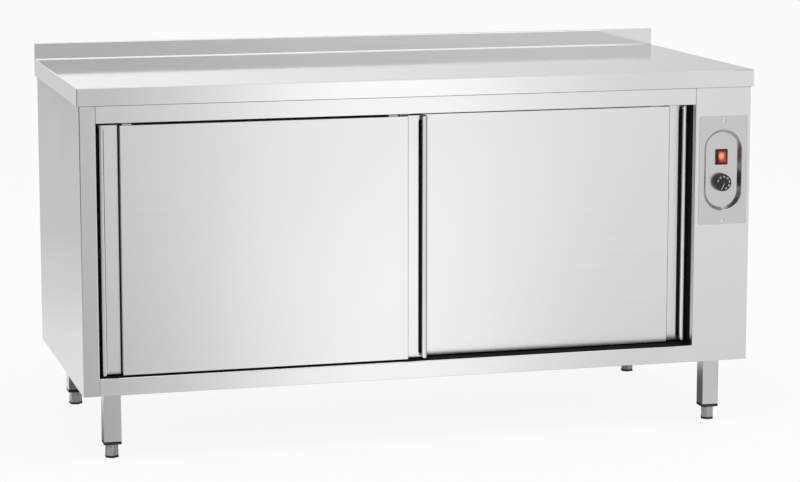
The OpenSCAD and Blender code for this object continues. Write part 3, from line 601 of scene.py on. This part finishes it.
# The half width over which a level before the front goes over into that behind it: by direction and by place
ROOM_TURN, FLOOR_TURN = 0.2, 0.3

FLOOR_HALF = 60.0
FLOOR_WHITE = (0.86, 0.86, 0.86)
# How much of the floor that the camera sees glows by itself, and how brightly
FLOOR_GLOW, GLOW_LEVEL = 0.86, 1.04
# What the steel mirrors of the floor, by y: before the front and behind it
FLOOR_FRONT_LEVELS = ((-7.0, 1.02), (-3.0, 1.0), (-2.6, 1.0), (-0.9, 0.94))
FLOOR_BACK_LEVELS = ((0.0, 0.97), (0.9, 0.95), (2.0, 0.80), (3.1, 0.70), (4.0, 0.72))
# The floor is shaded under the cabinet: the shade's inner and outer half length, half depth, and its strength
SHADE_X, SHADE_Y, SHADE = (0.76, 0.88), (0.24, 0.36), 0.85
# The right screen's measure on the floor starts at this x, and leaves out this much next to the front
SCREEN_X, SCREEN_NEAR = 0.8, 0.3


def softbox(name, place, aim, width, height, radiance):
    """A rectangular lamp that looks at aim."""
    data = bpy.data.lights.new(name, "AREA")
    data.shape = "RECTANGLE"
    data.size = width
    data.size_y = height
    data.energy = radiance * math.pi * width * height
    lamp = bpy.data.objects.new(name, data)
    lamp.location = place
    lamp.rotation_euler = (Vector(aim) - Vector(place)).to_track_quat("-Z", "Z").to_euler()
    bpy.context.scene.collection.objects.link(lamp)


def world_light():
    """A white room: even for the light that falls on things, shaded where steel mirrors it."""
    world = bpy.data.worlds.new("studio")
    bpy.context.scene.world = world
    world.use_nodes = True
    g = Graph(world.node_tree)
    x, y, z = g.coordinates("Generated")
    sideways = g.calc("DIVIDE", x, g.calc("MAXIMUM", g.calc("ABSOLUTE", y), LEAST_Y))
    on_front = g.calc("ADD", g.calc("MULTIPLY", sideways, FRONT_Y - CAMERA[1]), CAMERA[0])
    # Near the horizon the room goes on as the floor does
    above = g.scaled(z, HORIZON_START, HORIZON_END, 0.0, 1.0)
    before = g.blended(above, g.ramp(on_front, FRONT_LEVELS), g.ramp(sideways, HIGH_LEVELS))
    behind = g.scaled(sideways, *BEHIND_LEVELS)
    room = g.blended(g.scaled(y, -ROOM_TURN, ROOM_TURN, 0.0, 1.0), before, behind)
    left = g.scaled(x, ROOM_LEFT_START, ROOM_LEFT_END, LEFT_LEVEL, 1.0)
    right = g.scaled(sideways, SCREEN_START, SCREEN_END, 1.0, SCREEN_LEVEL)
    mirrored = g.calc("MULTIPLY", room, g.calc("MULTIPLY", left, right))
    plain = g.calc("ADD", g.calc("MULTIPLY", g.ray("Camera"), 1.0 - AMBIENT), AMBIENT)
    back = g.tree.nodes["Background"]
    g.set(back, Color=(1, 1, 1, 1), Strength=g.blended(g.ray("Glossy"), plain, mirrored))


def mirrored_floor(pale):
    """The floor's level where steel mirrors it."""
    x, y, _ = pale.coordinates("Object")
    # The camera mirrored in the doors' plane looks at the floor from (mirror_x, mirror_y)
    mirror_x, mirror_y = CAMERA[0], 2 * FRONT_Y - CAMERA[1]
    ahead = pale.calc("MAXIMUM", pale.calc("SUBTRACT", mirror_y, y), LEAST_AHEAD)
    slope = pale.calc("DIVIDE", pale.calc("SUBTRACT", x, mirror_x), ahead)
    on_front = pale.calc("ADD", pale.calc("MULTIPLY", slope, mirror_y - FRONT_Y), mirror_x)
    before = pale.calc("MULTIPLY", pale.ramp(on_front, FRONT_LEVELS), pale.ramp(y, FLOOR_FRONT_LEVELS))
    behind = pale.ramp(y, FLOOR_BACK_LEVELS)
    level = pale.blended(pale.scaled(y, -FLOOR_TURN, FLOOR_TURN, 0.0, 1.0), before, behind)
    distance = pale.calc("MAXIMUM", pale.calc("ABSOLUTE", pale.calc("SUBTRACT", y, FRONT_Y)), SCREEN_NEAR)
    aside = pale.calc("DIVIDE", pale.calc("SUBTRACT", x, SCREEN_X), distance)
    left = pale.scaled(x, FLOOR_LEFT_START, FLOOR_LEFT_END, LEFT_LEVEL, 1.0)
    right = pale.scaled(aside, SCREEN_START, SCREEN_END, 1.0, SCREEN_LEVEL)
    under = pale.calc(
        "MULTIPLY",
        pale.scaled(pale.calc("ABSOLUTE", x), *SHADE_X, 1.0, 0.0),
        pale.scaled(pale.calc("ABSOLUTE", y), *SHADE_Y, 1.0, 0.0),
    )
    open_share = pale.calc("SUBTRACT", 1.0, pale.calc("MULTIPLY", under, SHADE))
    sides = pale.calc("MULTIPLY", left, right)
    return pale.calc("MULTIPLY", level, pale.calc("MULTIPLY", sides, open_share))


def mixed_shader(graph, share, first, second):
    """The shader first where share is 0, second where it is 1."""
    mix = graph.add("MixShader")
    for socket, value in zip(mix.inputs, (share, first, second)):
        graph.put(socket, value)
    return mix.outputs[0]


def floor():
    """A white floor that fades into the room for the camera, and takes the cabinet's shadow."""
    mesh = bpy.data.meshes.new("floor")
    corners = [(x * FLOOR_HALF, y * FLOOR_HALF, 0) for x, y in ((-1, -1), (1, -1), (1, 1), (-1, 1))]
    mesh.from_pydata(corners, [], [(0, 1, 2, 3)])
    ground = bpy.data.objects.new("floor", mesh)
    bpy.context.scene.collection.objects.link(ground)
    pale = Nodes("floor_white", FLOOR_WHITE, 0.0, 0.9)
    bright = pale.add("Emission", Strength=GLOW_LEVEL).outputs[0]
    mirrored = pale.add("Emission", Strength=mirrored_floor(pale)).outputs[0]
    glow_share = pale.calc("MULTIPLY", pale.ray("Camera"), FLOOR_GLOW)
    lit = mixed_shader(pale, glow_share, pale.shader.outputs[0], bright)
    seen = mixed_shader(pale, pale.ray("Glossy"), lit, mirrored)
    pale.put(pale.tree.nodes["Material Output"].inputs[0], seen)
    mesh.materials.append(pale.material)


def studio():
    world_light()
    floor()
    softbox("top_box", (0.3, -1.2, 3.6), (0, 0, 0.5), 3.2, 2.4, 1.3)
    softbox("left_box", (-4.2, -2.2, 2.4), (0, 0, 0.5), 1.8, 2.2, 0.8)


def camera():
    """The camera that was fitted to the photograph's straight edges."""
    data = bpy.data.cameras.new("camera")
    data.sensor_width = SENSOR
    data.lens = LENS
    data.shift_y = LENS_SHIFT
    data.clip_end = 200
    item = bpy.data.objects.new("camera", data)
    item.location = CAMERA
    item.rotation_euler = (math.pi / 2 - CAMERA_DOWN, 0, -CAMERA_RIGHT)
    bpy.context.scene.collection.objects.link(item)
    bpy.context.scene.camera = item


dress_sheets()
dress_fittings()
dress_doors()
dress_rocker()
knob()
crowned_handles()
worktop_seal()
linings()
studio()
camera()

bpy.context.scene.view_settings.view_transform = "Standard"
